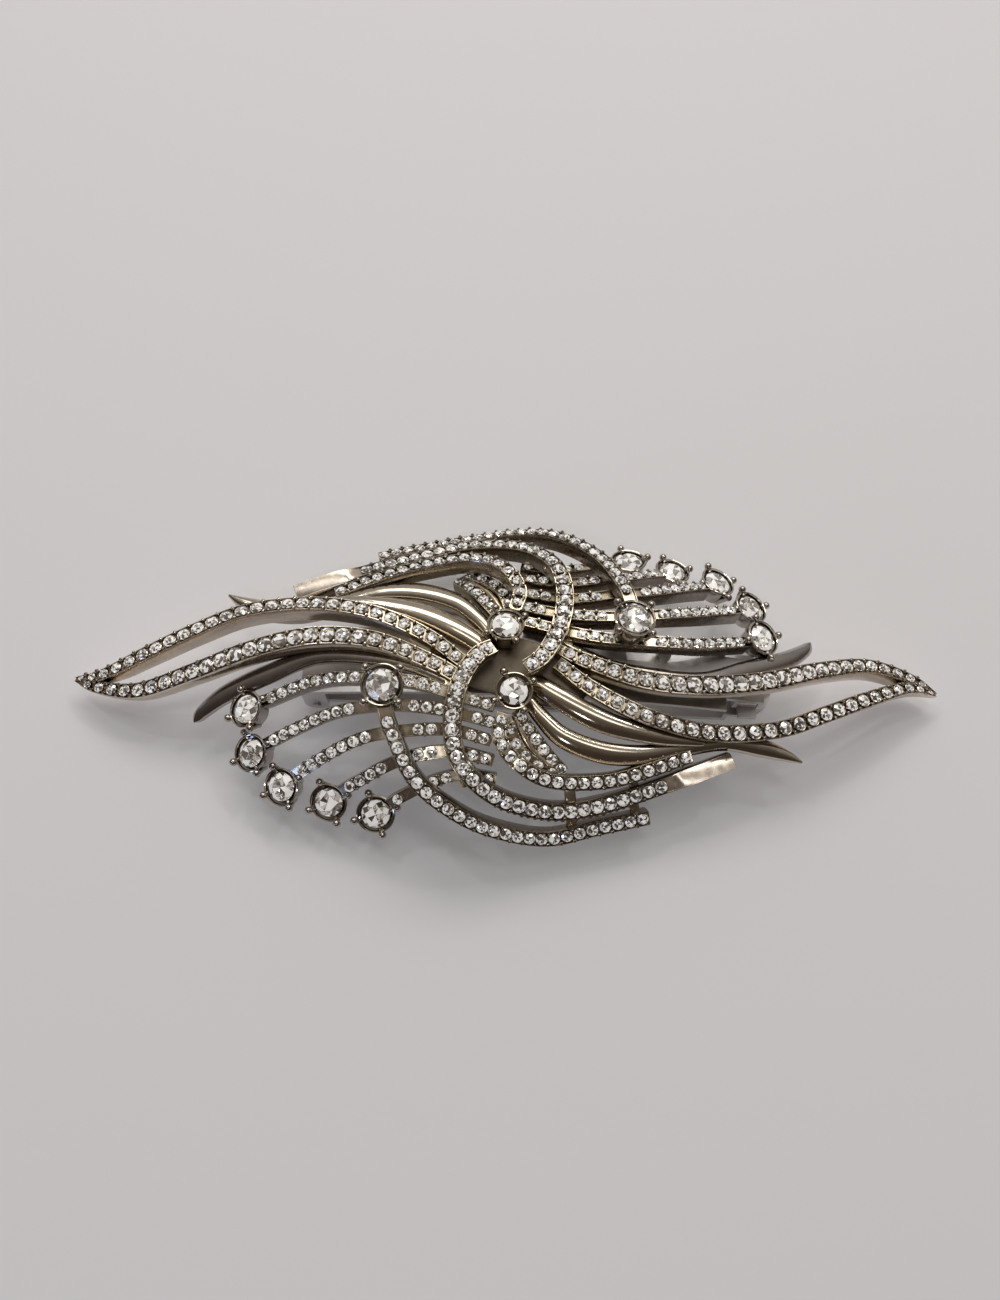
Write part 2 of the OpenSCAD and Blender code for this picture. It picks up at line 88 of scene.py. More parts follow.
FAN_BARS = [
    [(-31.4, -5.8, -1.5, 1.6), (-25, -3.9, 0.2, 1.6), (-20, -3.4, 0.7, 1.6), (-12.5, -3.5, 0.1, 1.6),
     (-7, -4.6, -0.9, 1.6), (-1.6, -5.9, -1.3, 1.5)],
    [(-30.6, -11, -1.5, 1.6), (-25.5, -9.1, -0.1, 1.6), (-20.5, -7.6, 1, 1.6), (-14, -6.7, 0.6, 1.6),
     (-7.5, -6.9, -0.4, 1.6), (-1.2, -8.1, -1, 1.5)],
    [(-26.6, -14.7, -1.3, 1.6), (-22.6, -12.8, 0.1, 1.6), (-18.5, -11.1, 1, 1.6), (-14.5, -10.2, 1.2, 1.6),
     (-7.5, -9.3, 0, 1.6), (-1.8, -10.2, -0.8, 1.5)],
    [(-20.6, -16.4, -1.5, 1.6), (-18.4, -15.4, -0.9, 1.6), (-15.1, -13.9, 0, 1.6), (-11.3, -12.6, 0.5, 1.6),
     (-6.5, -11.9, 0.2, 1.6), (-1.4, -12.6, -0.4, 1.5)],
    [(-14.4, -17.8, -1.4, 1.5), (-12.6, -16.9, -0.9, 1.5), (-8.7, -15.2, -0.4, 1.5), (-5, -14.4, -0.3, 1.5),
     (-1, -14.8, -0.3, 1.5)],
]
FAN_LINK = [
    (-7.2, -2.6, -1.9, 1.8), (-7.2, -7, -1.7, 1.8), (-6.6, -11.5, -1.2, 1.8), (-4.4, -15.4, -1, 1.6),
]
OUTER_CRESCENT = [
    (-15.2, -7.2, 3.3, 1.8), (-14.1, -10.4, 3.5, 1.9), (-10.8, -16, 3.2, 2), (-5.3, -19.6, 3.2, 2),
    (0, -20.9, 1.4, 2), (6, -20.9, -0.9, 2), (12, -19.3, -1.6, 2), (18.7, -17.5, -2.3, 1.9),
]
MIDDLE_CRESCENT = [
    (-2, 1.4, 0.5, 2), (-4.2, -0.3, 0.9, 2.2), (-6.2, -4.5, 1.4, 2.3), (-6.7, -9.8, 1.6, 2.3),
    (-5.2, -14.1, 2.5, 2.2), (-0.8, -17.3, 2.1, 2.2), (6, -18.2, 0.5, 2.2), (12.5, -16.8, -1.1, 2.2),
    (20.4, -13.9, -1.5, 2.1), (29, -10.2, -1.7, 2),
]
INNER_CRESCENT = [
    (-0.4, -7, 0.2, 1.7), (-0.9, -10, 0.6, 1.9), (1.2, -13.1, 2, 1.9), (5.6, -15, 1.5, 1.9),
    (12.5, -14.3, -0.3, 1.9), (18, -12.5, -1.1, 1.9), (23.6, -10.1, -1.9, 1.8),
]
PETAL_RAILS = [
    [(1.2, -6.2, -1.6, 1.5), (3.4, -9, -2, 1.7), (5.4, -11.2, -2.2, 1.7), (7.5, -13, -2.4, 1.5)],
    [(0.2, -7.6, -1.4, 1.5), (1.3, -10.4, -1.2, 1.6), (3.2, -12.2, -1.2, 1.6), (6.4, -13.6, -1.6, 1.5)],
]
PETAL_RIB = [
    (0.9, -6.8, -1.6, 0.8), (2.5, -9.8, -1.6, 0.8), (4.4, -11.8, -1.8, 0.8), (6.9, -13.3, -2.1, 0.8),
]
CRESCENT_TIES = [
    [(8.2, -14.6, -1.4, 1.4), (8.6, -17.6, -1.4, 1.4), (9, -20.4, -2.4, 1.4)],
    [(16.2, -12.6, -2.4, 1.2), (16.6, -15.4, -2.6, 1.2), (17, -18.2, -3.2, 1.2)],
]
HUB = [
    (-10, 2.4, -2.7, 6), (-5, 1.2, -2.9, 7.6), (0, 0, -3, 8.2), (5, -1.2, -2.9, 7.6), (10, -2.4, -2.7, 6),
]
END_PLACES = [
    (-33.3, -6.6, 8.3), (-32.4, -11.8, 6.2), (-28.2, -15.8, 5.3), (-22.1, -17.4, 4.8), (-16, -18.6, 4.9),
]
RAISED_PLACE, CENTRE_PLACE, FAN_MIDDLE = (-15.4, -5.2, 16), (0.7, -4.4, 13.8), (-16, -4)


def unit(v):
    v = np.asarray(v, float)
    return v / np.linalg.norm(v)


def crown(x, y):
    return DOME_H - x * x / (2 * DOME_RX) - y * y / (2 * DOME_RY)


def crown_normal(p):
    return unit((p[0] / DOME_RX, p[1] / DOME_RY, 1))


def course(points, steps):
    """A smooth course through the knots, as x, y, z, width."""
    p = [np.array(q, float) for q in points]
    p = [2 * p[0] - p[1], *p, 2 * p[-1] - p[-2]]
    path = []
    for i in range(len(p) - 3):
        a, b, c, d = p[i : i + 4]
        for k in range(steps + (i == len(p) - 4)):
            t = k / steps
            q = b + 0.5 * t * (c - a + t * (2 * a - 5 * b + 4 * c - d + t * (3 * (b - c) + d - a)))
            path.append((q[0], q[1], crown(q[0], q[1]) + q[2], q[3]))
    return np.array(path)


def frames(path):
    """For each point of a path: place, leftward side, up and heading."""
    place = path[:, :3]
    found = []
    for i in range(len(path)):
        heading = unit(place[min(i + 1, len(path) - 1)] - place[max(i - 1, 0)])
        side = unit(np.cross(crown_normal(place[i]), heading))
        found.append((place[i], side, np.cross(heading, side), heading))
    return found


def lengths(path):
    steps = np.linalg.norm(np.diff(path[:, :3], axis=0), axis=1)
    return np.concatenate([[0], np.cumsum(steps)])


def at(path, runs, far):
    return np.array([np.interp(far, runs, path[:, k]) for k in range(4)])


# ---------------------------------------------------------------- mesh building

class Shape:
    """A mesh in the making: corners in millimetres, faces, and each face's material number."""

    def __init__(self):
        self.corners, self.faces, self.paint = [], [], []

    def add(self, corners, faces, paint=0):
        base = len(self.corners)
        self.corners.extend(tuple(c) for c in corners)
        self.faces.extend(tuple(base + i for i in f) for f in faces)
        self.paint.extend([paint] * len(faces))

    def turned(self):
        """The same shape after half a turn about Z."""
        other = Shape()
        other.corners = [(-x, -y, z) for x, y, z in self.corners]
        other.faces, other.paint = list(self.faces), list(self.paint)
        return other

    def build(self, name, materials, sharp=34):
        mesh = bpy.data.meshes.new(name)
        mesh.from_pydata((np.array(self.corners) * MM).tolist(), [], self.faces)
        for m in materials:
            mesh.materials.append(m)
        mesh.polygons.foreach_set("material_index", self.paint)
        mesh.polygons.foreach_set("use_smooth", [True] * len(self.faces))
        mesh.update()
        mesh.set_sharp_from_angle(angle=math.radians(sharp))
        made = bpy.data.objects.new(name, mesh)
        bpy.context.scene.collection.objects.link(made)
        return made


def sweep(shape, path, ring_of, wall=0, end=0.06):
    """Sweeps a ring of (leftward, upward) points along a path, rounding its ends over a short length.

    ring_of gets the width, the running and the whole length. wall is the material number of the sides
    and the back."""
    rings = []
    runs = lengths(path)
    stations = frames(path)
    for (p, side, up, heading), q, s in zip(stations, path, runs):
        ring = ring_of(q[3], s, runs[-1])
        rings.append([p + side * u + up * v for u, v in ring])
    for index, sign in ((0, -1), (-1, 1)):
        middle = np.mean(rings[index], axis=0)
        heading = stations[index][3]
        small = [middle + (c - middle) * 0.9 + heading * sign * end * 0.2 for c in rings[index]]
        inner = [c - heading * sign * end for c in rings[index]]
        rings[index] = inner
        if index == 0:
            rings.insert(0, small)
        else:
            rings.append(small)
    n = len(rings[0])
    corners = [c for ring in rings for c in ring]
    faces = [
        (i * n + k, i * n + (k + 1) % n, (i + 1) * n + (k + 1) % n, (i + 1) * n + k)
        for i in range(len(rings) - 1)
        for k in range(n)
    ]
    faces.append(tuple(range(n - 1, -1, -1)))
    faces.append(tuple((len(rings) - 1) * n + k for k in range(n)))
    first = len(shape.paint)
    shape.add(corners, faces)
    # the first and last few edges of a ring are its sides and its back
    around = [0 if 3 <= k <= n - 5 else wall for k in range(n)] * (len(rings) - 1)
    shape.paint[first : first + len(around)] = around


def stand(p, normal, spin=0.0):
    """A 4x4 that stands a local shape on p with its Z along normal."""
    n = unit(normal)
    x = unit(np.cross((0, 1, 0), n))
    y = np.cross(n, x)
    c, s = math.cos(spin), math.sin(spin)
    m = np.eye(4)
    m[:3, 0], m[:3, 1], m[:3, 2], m[:3, 3] = x * c + y * s, y * c - x * s, n, p
    return m


def placed(corners, m):
    c = np.asarray(corners, float)
    return c @ m[:3, :3].T + m[:3, 3]


def lathe(profile, count):
    """Turns (radius, height) points about Z. A point of radius 0 closes the shape."""
    corners, faces, rows = [], [], []
    for r, z in profile:
        if r < 1e-6:
            rows.append([len(corners)])
            corners.append((0, 0, z))
        else:
            rows.append(list(range(len(corners), len(corners) + count)))
            corners.extend((r * math.cos(2 * math.pi * k / count), r * math.sin(2 * math.pi * k / count), z)
                           for k in range(count))
    for a, b in zip(rows, rows[1:]):
        for k in range(count):
            j = (k + 1) % count
            if len(a) == 1:
                faces.append((a[0], b[j], b[k]))
            elif len(b) == 1:
                faces.append((a[k], a[j], b[0]))
            else:
                faces.append((a[k], a[j], b[j], b[k]))
    return corners, faces


def ball(r, rows=5, count=10):
    angles = [math.pi * k / rows for k in range(rows + 1)]
    return lathe([(r * math.sin(a), -r * math.cos(a)) for a in angles], count)


def tube(points, radii, count=10):
    """A round tapering rod along a few points, closed at both ends."""
    points = [np.array(p, float) for p in points]
    corners, faces = [], []
    for i, (p, r) in enumerate(zip(points, radii)):
        heading = unit(points[min(i + 1, len(points) - 1)] - points[max(i - 1, 0)])
        helper = (0, 0, 1) if abs(heading[2]) < 0.8 else (1, 0, 0)
        side = unit(np.cross(helper, heading))
        up = np.cross(heading, side)
        corners.extend(p + (side * math.cos(a) + up * math.sin(a)) * r
                       for a in (2 * math.pi * k / count for k in range(count)))
    for i in range(len(points) - 1):
        for k in range(count):
            j = (k + 1) % count
            faces.append((i * count + k, i * count + j, (i + 1) * count + j, (i + 1) * count + k))
    faces.append(tuple(range(count - 1, -1, -1)))
    faces.append(tuple((len(points) - 1) * count + k for k in range(count)))
    return corners, faces


# ---------------------------------------------------------------- cut stones

def cut_stone(r, fold=8, table=0.56, crown_height=0.34, depth=0.66):
    """A brilliant cut with its girdle at Z = 0: crown faces and pavilion faces apart."""
    step = 2 * math.pi / fold
    corners = []

    def ring(radius, z, offset):
        first = len(corners)
        corners.extend((radius * math.cos(step * (k + offset)), radius * math.sin(step * (k + offset)), z)
                       for k in range(fold))
        return [first + k for k in range(fold)]

    top = ring(table * r, crown_height * r, 0)
    middle = ring(0.8 * r, 0.19 * r, 0.5)
    main = ring(r, 0.03 * r, 0)
    between = ring(r, 0.03 * r, 0.5)
    main_low = ring(r, -0.03 * r, 0)
    between_low = ring(r, -0.03 * r, 0.5)
    lower = ring(0.42 * r, -0.44 * r, 0.5)
    corners.append((0, 0, -depth * r))
    corners.append((0, 0, (crown_height - 0.05) * r))
    culet, star = len(corners) - 2, len(corners) - 1
    crown_faces, pavilion = [], []
    for k in range(fold):
        j = (k + 1) % fold
        crown_faces.append((top[k], top[j], star))
        crown_faces.append((top[k], middle[k], top[j]))
        crown_faces.append((middle[k - 1], main[k], middle[k], top[k]))
        crown_faces.append((middle[k], main[k], between[k]))
        crown_faces.append((middle[k], between[k], main[j]))
        crown_faces.append((main[k], main_low[k], between_low[k], between[k]))
        crown_faces.append((between[k], between_low[k], main_low[j], main[j]))
        pavilion.append((culet, lower[k], main_low[k], lower[k - 1]))
        pavilion.append((lower[k], between_low[k], main_low[k]))
        pavilion.append((lower[k], main_low[j], between_low[k]))
    return corners, crown_faces, pavilion


# Which facets are clear (0), show the foil (1) or are painted white glints that glow faintly (2)
FACETS = (0, 0, 1, 2, 2)


def add_stone(shape, p, normal, r, wobble=0.05):
    spin = dice.uniform(0, math.pi / 4)
    lean = np.array((dice.uniform(-wobble, wobble), dice.uniform(-wobble, wobble), 0))
    m = stand(p, unit(normal) + lean, spin)
    corners, crown_faces, pavilion = cut_stone(r)
    base = len(shape.corners)
    shape.add(placed(corners, m), crown_faces, 0)
    shape.paint[-len(crown_faces):] = [dice.choice(FACETS) for _ in crown_faces]
    shape.faces.extend(tuple(base + i for i in f) for f in pavilion)
    shape.paint.extend([1] * len(pavilion))


def open_above(q):
    """False where a crescent or the raised setting crosses above a point of the wing."""
    setting_room, crescent_room = 1.3, 1.7
    plan = np.array(q[:2])
    if np.linalg.norm(plan - np.array(RAISED_PLACE[:2])) <= RAISED_R + setting_room:
        return False
    above = (OUTER_CRESCENT, MIDDLE_CRESCENT)
    return min(np.linalg.norm(course(c, 6)[:, :2] - plan, axis=1).min() for c in above) > crescent_room


def row_places(points, pitch, start, stop, covered=False):
    """Evenly spaced stone places and headings on a course. covered leaves out those with something above."""
    path = course(points, 4)
    runs = lengths(path)
    total = runs[-1] - start - stop
    count = math.floor(total / pitch)
    found = [at(path, runs, start + total * k / count) for k in range(count + 1)]
    headings = []
    for k in range(count + 1):
        s = start + total * k / count
        headings.append(unit((at(path, runs, s + 0.3) - at(path, runs, s - 0.3))[:3]))
    return [(q, h) for q, h in zip(found, headings) if not covered or open_above(q)]


# ---------------------------------------------------------------- materials

def new_material(name):
    m = bpy.data.materials.new(name)
    m.use_nodes = True
    nodes = m.node_tree.nodes
    return m, nodes, m.node_tree.links, nodes["Principled BSDF"]


def plated(name, light, dark, warm, rough, bump, corner_shade=0.85, warm_reach=14.0):
    """Nickel plate: clouded, darkened in the corners with painted shade, yellowed near the middle and finely
    worn.

    warm_reach is how far the yellow reaches, in millimetres."""
    m, nodes, links, shader = new_material(name)
    shader.inputs["Metallic"].default_value = 1.0
    place = nodes.new("ShaderNodeTexCoord")
    cloud = nodes.new("ShaderNodeTexNoise")
    cloud.inputs["Scale"].default_value = 260.0
    cloud.inputs["Detail"].default_value = 4.0
    cloud.inputs["Roughness"].default_value = 0.6
    links.new(place.outputs["Object"], cloud.inputs["Vector"])
    clouded = nodes.new("ShaderNodeMix")
    clouded.data_type = "RGBA"
    clouded.inputs["A"].default_value = (*light, 1)
    clouded.inputs["B"].default_value = (*[c * 0.88 for c in light], 1)
    spread = nodes.new("ShaderNodeMapRange")
    spread.inputs["From Min"].default_value = 0.4
    spread.inputs["From Max"].default_value = 0.62
    links.new(cloud.outputs["Fac"], spread.inputs["Value"])
    links.new(spread.outputs["Result"], clouded.inputs["Factor"])
    # yellowed towards the middle, in patches
    reach = nodes.new("ShaderNodeVectorMath")
    reach.operation = "LENGTH"
    links.new(place.outputs["Object"], reach.inputs[0])
    near = nodes.new("ShaderNodeMapRange")
    near.inputs["From Min"].default_value = 1.9 * warm_reach * MM
    near.inputs["From Max"].default_value = 0.9 * warm_reach * MM
    near.inputs["To Max"].default_value = 0.9
    links.new(reach.outputs["Value"], near.inputs["Value"])
    patch = nodes.new("ShaderNodeMath")
    patch.operation = "MULTIPLY"
    links.new(near.outputs["Result"], patch.inputs[0])
    links.new(cloud.outputs["Fac"], patch.inputs[1])
    warmed = nodes.new("ShaderNodeMix")
    warmed.data_type = "RGBA"
    warmed.inputs["B"].default_value = (*warm, 1)
    links.new(clouded.outputs["Result"], warmed.inputs["A"])
    links.new(patch.outputs["Value"], warmed.inputs["Factor"])
    # painted shade: darker in the corners, found by ambient occlusion
    corner = nodes.new("ShaderNodeAmbientOcclusion")
    corner.samples = 6
    corner.inputs["Distance"].default_value = 0.85 * MM
    corner_shade_mask = nodes.new("ShaderNodeMapRange")
    corner_shade_mask.inputs["From Min"].default_value = 0.1
    corner_shade_mask.inputs["From Max"].default_value = 0.72
    corner_shade_mask.inputs["To Min"].default_value = corner_shade
    corner_shade_mask.inputs["To Max"].default_value = 0.0
    links.new(corner.outputs["AO"], corner_shade_mask.inputs["Value"])
    corner_shaded = nodes.new("ShaderNodeMix")
    corner_shaded.data_type = "RGBA"
    corner_shaded.inputs["B"].default_value = (*dark, 1)
    links.new(warmed.outputs["Result"], corner_shaded.inputs["A"])
    links.new(corner_shade_mask.outputs["Result"], corner_shaded.inputs["Factor"])
    links.new(corner_shaded.outputs["Result"], shader.inputs["Base Color"])
    # wear
    wear = nodes.new("ShaderNodeTexNoise")
    wear.inputs["Scale"].default_value = 900.0
    wear.inputs["Detail"].default_value = 5.0
    links.new(place.outputs["Object"], wear.inputs["Vector"])
    dull = nodes.new("ShaderNodeMapRange")
    dull.inputs["From Min"].default_value = 0.35
    dull.inputs["From Max"].default_value = 0.7
    dull.inputs["To Min"].default_value = rough[0]
    dull.inputs["To Max"].default_value = rough[1]
    links.new(wear.outputs["Fac"], dull.inputs["Value"])
    links.new(dull.outputs["Result"], shader.inputs["Roughness"])
    ripple = nodes.new("ShaderNodeBump")
    ripple.inputs["Strength"].default_value = bump
    ripple.inputs["Distance"].default_value = 0.06 * MM
    links.new(wear.outputs["Fac"], ripple.inputs["Height"])
    links.new(ripple.outputs["Normal"], shader.inputs["Normal"])
    return m


def crystal(name, tint, rough, clear, painted_glow=0.0):
    """Cut glass. clear is how much light goes through; the last argument gives a faint light of its own, a
    painted glint.
    """
    m, _, _, shader = new_material(name)
    shader.inputs["Base Color"].default_value = (*tint, 1)
    shader.inputs["Transmission Weight"].default_value = clear
    shader.inputs["IOR"].default_value = 1.6
    shader.inputs["Roughness"].default_value = rough
    shader.inputs["Emission Color"].default_value = (1, 0.98, 0.95, 1)
    shader.inputs["Emission Strength"].default_value = painted_glow
    return m


def foil(name, tint, rough):
    """The mirror foil behind a stone."""
    m, _, _, shader = new_material(name)
    shader.inputs["Base Color"].default_value = (*tint, 1)
    shader.inputs["Metallic"].default_value = 1.0
    shader.inputs["Roughness"].default_value = rough
    return m


CAST = plated(
    "cast_plate", (0.74, 0.65, 0.55), (0.035, 0.026, 0.018),
    (0.84, 0.71, 0.41), (0.16, 0.3), 0.22, 0.88,
)
BRIGHT = plated(
    "bright_plate", (0.57, 0.515, 0.44), (0.045, 0.033, 0.025),
    (0.70, 0.60, 0.43), (0.09, 0.16), 0.04,
)
DARK = plated(
    "dark_plate", (0.53, 0.48, 0.435), (0.04, 0.033, 0.03),
    (0.56, 0.47, 0.30), (0.10, 0.2), 0.06,
)
# painted shade: the sides and backs of the fan bars, crescents and petals get this darker copy of the plate,
# as they lie in shade
SHADED_SIDE = plated(
    "shaded_side_plate", (0.30, 0.26, 0.225), (0.03, 0.023, 0.018),
    (0.36, 0.30, 0.19), (0.2, 0.34), 0.12, 0.7,
)
CLAW = plated(
    "claw_plate", (0.45, 0.42, 0.40), (0.04, 0.035, 0.035),
    (0.46, 0.40, 0.28), (0.14, 0.22), 0.04,
)
SHADED = plated(
    "shaded_plate", (0.16, 0.135, 0.115), (0.03, 0.023, 0.018),
    (0.19, 0.155, 0.10), (0.38, 0.55), 0.3, 0.7,
)
STAMPED = plated(
    "stamped_steel", (0.68, 0.66, 0.65), (0.24, 0.23, 0.22),
    (0.62, 0.58, 0.54), (0.3, 0.42), 0.02, 0.3,
)
SPRING = plated(
    "spring_strip", (0.70, 0.69, 0.68), (0.2, 0.19, 0.18),
    (0.64, 0.60, 0.55), (0.14, 0.22), 0.02, 0.3,
)
GLASS = crystal("stone_glass", (0.97, 0.96, 0.95), 0.0, 0.9)
# painted glint: near-white facets with a faint light of their own, standing in for sparkle
PAINTED_GLINT = crystal("stone_painted_glint", (0.98, 0.97, 0.95), 0.02, 0.1, 0.3)
FOIL = foil("stone_foil", (0.90, 0.88, 0.85), 0.05)
STONE = [GLASS, FOIL, PAINTED_GLINT]


# ---------------------------------------------------------------- profiles of the rails

def stone_rail(depth, rim=0.15, plain_end=0.0):
    """A rail with a thin raised rim on each side of the sunk bed that holds the stones.

    The last plain_end millimetres have no bed and lean over to the side."""
    channel = 0.3
    slope, onset = 0.42, 3.0  # of the plain end's lean

    def ring(w, s, whole):
        h = w / 2
        d = min(depth, 1.4 * w)
        e = min(rim, 0.2 * h)
        c = min(channel, 0.45 * h) * (1 if s < whole - plain_end else -0.12)
        foot = h * 0.86
        right = [
            (foot - 0.12, -d), (foot, -d + 0.12), (h, -0.55 * d), (h, -0.1), (h - 0.05, 0.0), (h - e, 0.0),
            (h - e - 0.04, -c),
        ]
        bank = slope * min(1.0, max(0.0, (s - whole + plain_end) / onset)) if plain_end else 0.0
        return [(u, v - bank * u) for u, v in right + [(-u, v) for u, v in reversed(right)]]

    return ring


def plain_rail(depth, shoulder, crown_lift=0.0, blunt=0.0):
    """A polished rail with a flat or domed top. blunt rounds off its far end over that length."""

    def ring(w, s, whole):
        left = min(1.0, (whole - s) / blunt) if blunt else 1.0
        w = w * math.sqrt(max(0.03, 1 - (1 - left) ** 2))
        h = w / 2
        d = min(depth, 1.4 * w)
        dome = min(shoulder, 0.4 * h) + crown_lift
        foot = 0.8 * h
        right = [(foot - 0.1 * h, -d), (foot, -d + 0.1), (h, -0.5 * d), (h, -dome)]
        top = [(h * math.cos(a), dome * (math.sin(a) - 1)) for a in (math.pi * k / 12 for k in range(1, 12))]
        return right + top + [(-u, v) for u, v in reversed(right)]

    return ring


def add_grains(shape, places, w_share, r, lift=0.12):
    """Bead grains that hold the stones: one on each edge between each two neighbours."""
    for (a, ha), (b, hb) in zip(places, places[1:]):
        gap = np.linalg.norm(a[:3] - b[:3])
        if gap > 3.2:  # something crosses above, so the row stops here
            continue
        q = (a + b) / 2
        n = crown_normal(q)
        side = unit(np.cross(n, unit(ha + hb)))
        for sign in (-1, 1):
            size = r * dice.uniform(0.86, 1.12)
            p = q[:3] + side * sign * q[3] / 2 * w_share + n * (lift + dice.uniform(-0.03, 0.03))
            corners, faces = ball(size, 5, 8)
            shape.add(placed(corners, stand(p, n)), faces, 1)


def add_collets(shape, places, fill, wire=0.055):
    """The thin burnished ring round each stone's seat."""
    for q, _ in places:
        r = fill * q[3] / 2 + 0.02
        angles = [math.pi * k / 3 - math.pi / 6 for k in range(7)]
        profile = [(r + wire * math.cos(a), 0.02 + wire * 1.2 * math.sin(a)) for a in angles]
        corners, faces = lathe(profile, 18)
        shape.add(placed(corners, stand(q[:3], crown_normal(q))), faces, 0)


def add_beading(shape, points, start, stop, pitch=0.85, r=0.34):
    """A row of small beads along the outer foot of a rail."""
    path = course(points, 4)
    runs = lengths(path)
    for s in np.arange(start, stop, pitch):
        q = at(path, runs, s)
        n = crown_normal(q)
        side = unit(np.cross(n, (at(path, runs, s + 0.3) - at(path, runs, s - 0.3))[:3]))
        corners, faces = ball(r * dice.uniform(0.9, 1.1), 5, 8)
        shape.add(placed(corners, stand(q[:3] - side * (q[3] / 2 + 0.1) - n * 0.9, n)), faces, 0)


# ---------------------------------------------------------------- pieces

def finish_piece(made, node, body="root"):
    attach(made, body)
    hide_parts(node)
    return made


def both(shape, stem, sides, tail, materials, sharp=34):
    """Builds a shape and its half-turned twin, for the CAD nodes stem_side."""
    for side, s in zip(sides, (shape, shape.turned())):
        finish_piece(s.build(f"{stem}_{side}_{tail}", materials, sharp), f"{stem}_{side}")


LR, FB = ("left", "right"), ("front", "rear")
WING_FILL, PAVE_FILL, FAN_FILL = 0.74, 0.74, 0.86
METAL = [CAST, BRIGHT, SHADED_SIDE]


def stones(places, fill):
    shape = Shape()
    for q, _ in places:
        add_stone(shape, q[:3], crown_normal(q), fill * q[3] / 2)
    return shape


def both_rows(places, fill, stem, sides):
    """The cut stones of one or more rows, and their half-turned twins."""
    both(stones(places, fill), stem, sides, "cut", STONE, sharp=5)


# wings
outer_places = row_places(WING_OUTER, WING_PITCH, start=1.2, stop=1, covered=True)
inner_places = row_places(WING_INNER, WING_PITCH, start=2.6, stop=1, covered=True)
wing = Shape()
for points, places in ((WING_OUTER, outer_places), (WING_INNER, inner_places)):
    sweep(wing, course(points, 8), stone_rail(RAIL_DEPTH))
    add_grains(wing, places, w_share=0.74, r=0.3)
    add_collets(wing, places, WING_FILL)
both(wing, "wing_frame", LR, "cast", METAL)
both_rows(outer_places, WING_FILL, "wing_outer_stones", LR)
both_rows(inner_places, WING_FILL, "wing_inner_stones", LR)

# plain blades
blade = Shape()
sweep(blade, course(SWEEP_BLADE, 20), plain_rail(BLADE_DEPTH, shoulder=0.45, crown_lift=0.3, blunt=0.9))
both(blade, "sweep_blade", LR, "polished", [CLAW])
ribbon = Shape()
sweep(ribbon, course(EDGE_RIBBON, 8), plain_rail(2.2, shoulder=0.5, crown_lift=0.3))
both(ribbon, "edge_ribbon", LR, "polished", [BRIGHT])
thorn = Shape()
sweep(thorn, course(CROSSING_BLADE, 8), plain_rail(2.6, shoulder=0.5, crown_lift=0.3))
both(thorn, "crossing_blade", LR, "polished", [BRIGHT])

# fans
fan = Shape()
bar_places = [row_places(bar, FAN_PITCH, start=1.6, stop=1, covered=True) for bar in FAN_BARS]
for bar, places in zip(FAN_BARS, bar_places):
    sweep(fan, course(bar, 6), stone_rail(RAIL_DEPTH, rim=0.12), wall=2)
    add_grains(fan, places, w_share=0.84, r=0.24)
sweep(fan, course(FAN_LINK, 6), plain_rail(1.6, shoulder=0.1))
both(fan, "fan_frame", LR, "cast", METAL)
for stem, bars in (("fan_long_bar_stones", bar_places[:2]), ("fan_short_bar_stones", bar_places[2:])):
    both_rows([q for bar in bars for q in bar], FAN_FILL, stem, LR)


# large settings
def add_setting(shape, p, normal, r, height, turn):
    """A cup with a rolled lip and four ball-ended claws, for a stone of radius r."""
    m = stand(p, normal, math.radians(turn))
    profile = [
        (0, -height), (r - 0.2, -height), (r, -height + 0.15), (r + 0.26, -0.55 * height),
        (r + 0.42, -0.2 * height), (r + 0.46, -0.05), (r + 0.58, 0.02), (r + 0.62, 0.12), (r + 0.58, 0.22),
        (r + 0.5, 0.26), (r + 0.42, 0.22), (r + 0.38, 0.12), (r + 0.36, -0.2), (r + 0.12, -0.3),
        (r + 0.02, -0.05), (r - 0.06, -0.1), (r - 0.1, -0.6 * r), (0, -0.6 * r),
    ]
    corners, faces = lathe(profile, 48)
    shape.add(placed(corners, m), faces, 0)
    angles = [math.pi * k / 4 for k in range(9)]
    lip = [(r + 0.5 + 0.14 * math.cos(a), 0.16 + 0.15 * math.sin(a)) for a in angles]
    corners, faces = lathe(lip, 48)
    shape.add(placed(corners, m), faces, 1)
    for k in range(4):
        a = math.radians(90 * k)
        out = np.array((math.cos(a), math.sin(a), 0))
        claw = [out * (r - 0.05) + (0, 0, -0.85 * height), out * (r + 0.35) + (0, 0, -0.5 * height),
                out * (r + 0.75) + (0, 0, -0.25 * height), out * (r + 1.0) + (0, 0, 0.1)]
        corners, faces = tube(claw, [0.42, 0.36, 0.3, 0.3])
        shape.add(placed(corners, m), faces, 0)
        grip = [out * (r + 0.2) + (0, 0, -0.15), out * (r + 0.6) + (0, 0, 0.0),
                out * (r + 0.95) + (0, 0, 0.15)]
        corners, faces = tube(grip, [0.4, 0.27, 0.3])
        shape.add(placed(corners, m), faces, 0)
        corners, faces = ball(0.52, 10, 16)
        tip = stand(out * (r + 1.0) + (0, 0, 0.2), (0, 0, 1))
        shape.add(placed(placed(corners, tip), m), faces, 0)


def end_normal(p):
    out = unit((p[0] - FAN_MIDDLE[0], p[1] - FAN_MIDDLE[1])) * math.sin(math.radians(END_TILT))
    return (out[0], out[1], math.cos(math.radians(END_TILT)))


